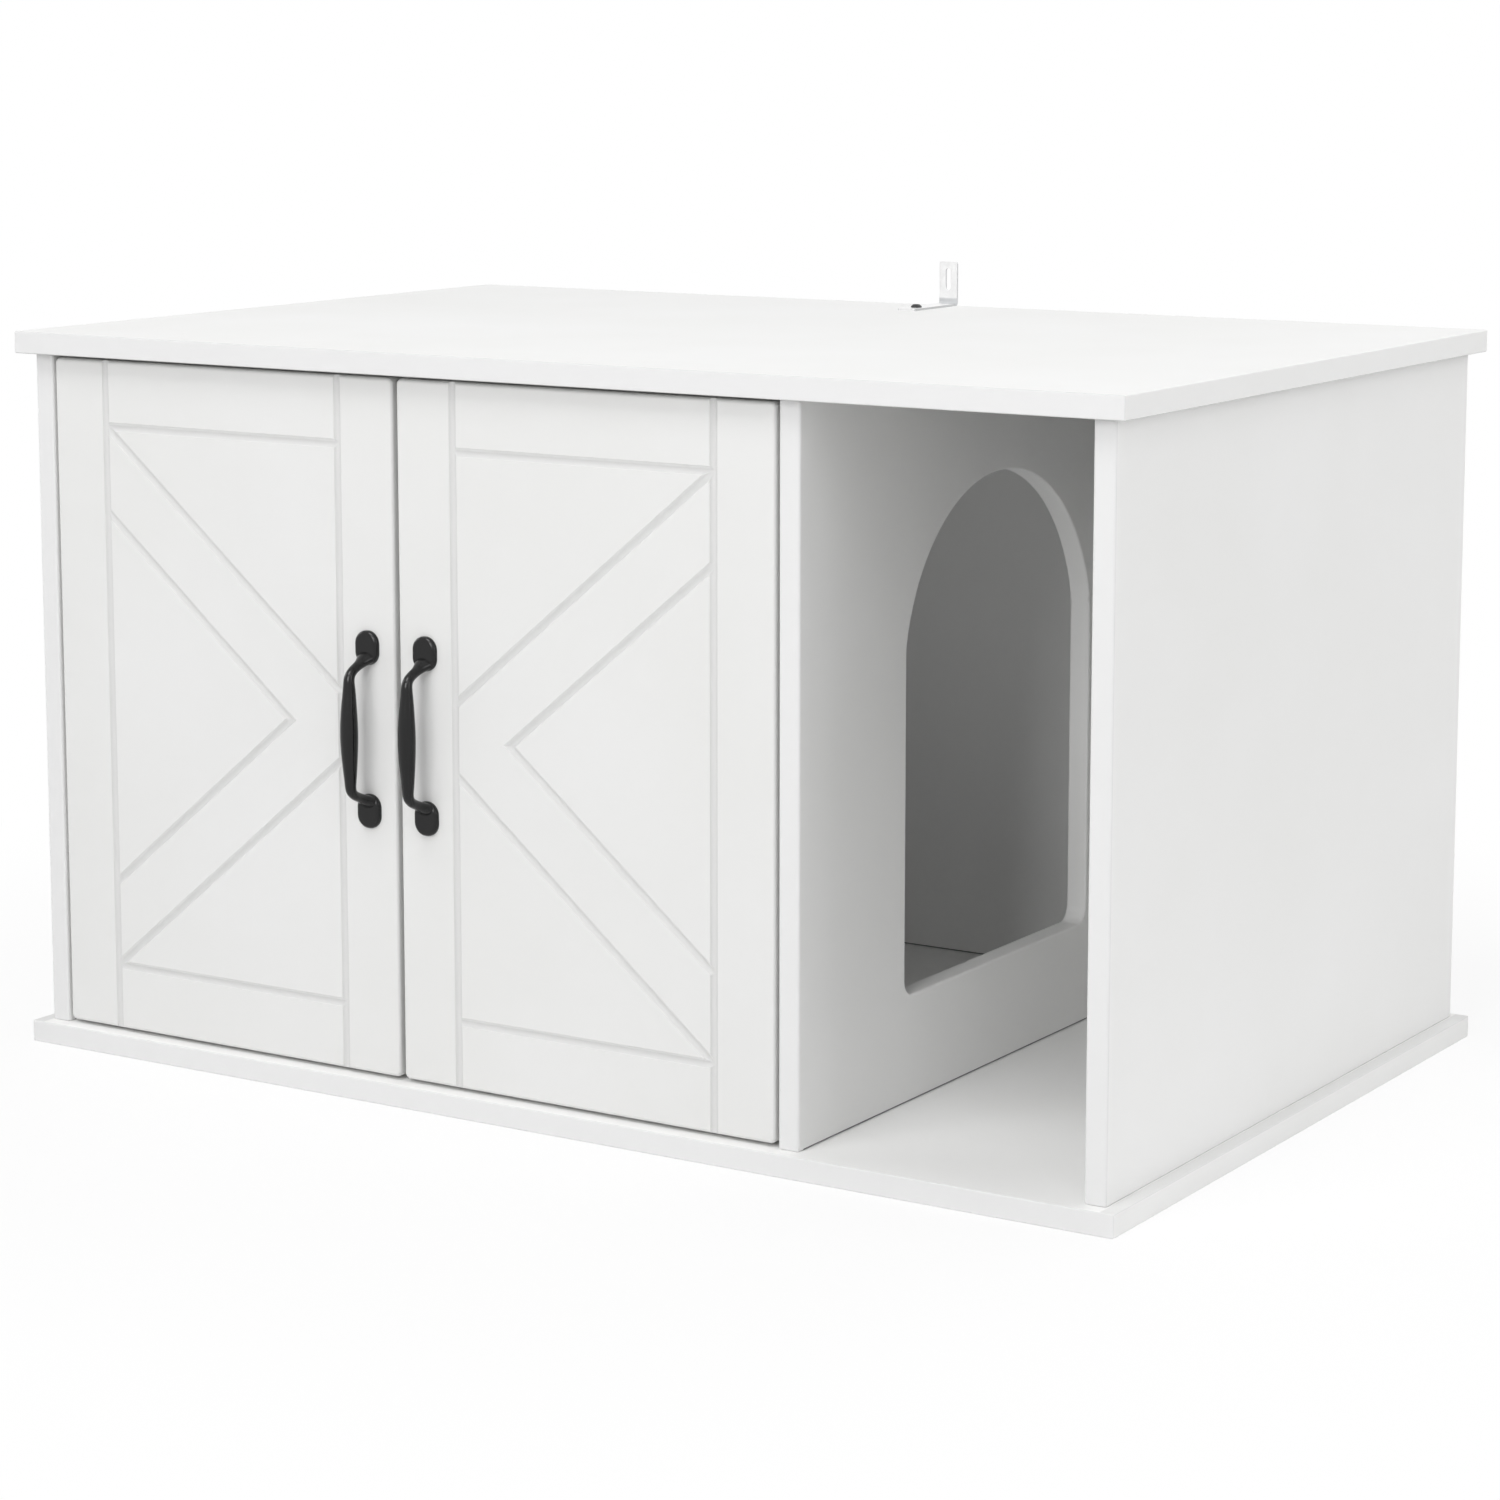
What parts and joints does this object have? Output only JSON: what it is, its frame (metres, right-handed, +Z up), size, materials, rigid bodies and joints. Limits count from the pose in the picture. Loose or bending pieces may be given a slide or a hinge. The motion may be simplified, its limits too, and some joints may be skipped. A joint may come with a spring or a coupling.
{
  "type": "cat house",
  "caption": "White flat-pack cat house: a litter chamber behind grooved hinged doors, entered by an arch from an open side bay, with a slotted wall bracket.",
  "frame": {"origin": "on the floor, under the middle of the base panel", "axes": "+X along the front from the doors to the open bay, +Y from the front to the back, +Z up"},
  "size_m": [0.85, 0.5674, 0.5325],
  "materials": {
    "white_board": "white satin foil on board",
    "white_door": "white satin foil on grooved board",
    "black_handle": "satin black paint",
    "black_screw": "black phosphate",
    "zinc_steel": "zinc plated",
    "hinge_steel": "nickel plated",
    "white_plastic": "moulded",
    "magnet": "dark ferrite",
    "beech": "fluted beech"
  },
  "bodies": {
    "case": {"back_dowels": "beech", "back_panel": "white_board", "back_screws": "zinc_steel", "base_dowels": "beech", "base_panel": "white_board", "base_screws": "zinc_steel", "cam_bolts": "zinc_steel", "cam_covers": "white_plastic", "cam_discs": "zinc_steel", "catch_housing": "white_plastic", "catch_magnets": "magnet", "catch_screws": "zinc_steel", "divider_panel": "white_board", "hinge_clamp_screws": "zinc_steel", "hinge_plate_screws": "zinc_steel", "left_lower_hinge_arm": "hinge_steel", "left_lower_hinge_plate": "hinge_steel", "left_side_panel": "white_board", "left_upper_hinge_arm": "hinge_steel", "left_upper_hinge_plate": "hinge_steel", "right_lower_hinge_arm": "hinge_steel", "right_lower_hinge_plate": "hinge_steel", "right_side_panel": "white_board", "right_upper_hinge_arm": "hinge_steel", "right_upper_hinge_plate": "hinge_steel", "top_dowels": "beech", "top_panel": "white_board", "wall_bracket": "zinc_steel", "wall_bracket_screw": "black_screw"},
    "left_leaf": {"left_door": "white_door", "left_handle": "black_handle", "left_handle_screws": "zinc_steel", "left_cup_screws": "zinc_steel", "left_strike_plate": "zinc_steel", "left_strike_screw": "zinc_steel", "left_upper_hinge_cup": "hinge_steel", "left_upper_hinge_pin": "hinge_steel", "left_lower_hinge_cup": "hinge_steel", "left_lower_hinge_pin": "hinge_steel"},
    "right_leaf": {"right_door": "white_door", "right_handle": "black_handle", "right_handle_screws": "zinc_steel", "right_cup_screws": "zinc_steel", "right_strike_plate": "zinc_steel", "right_strike_screw": "zinc_steel", "right_upper_hinge_cup": "hinge_steel", "right_upper_hinge_pin": "hinge_steel", "right_lower_hinge_cup": "hinge_steel", "right_lower_hinge_pin": "hinge_steel"}
  },
  "joints": [
    {"name": "left_door_hinge", "type": "hinge", "parent": "case", "child": "left_leaf", "pos_m": [-0.3751, -0.2565, 0.25], "axis": [0, 0, -1], "range_deg": [0, 95]},
    {"name": "right_door_hinge", "type": "hinge", "parent": "case", "child": "right_leaf", "pos_m": [0.1611, -0.2565, 0.25], "axis": [0, 0, 1], "range_deg": [0, 95]}
  ]
}
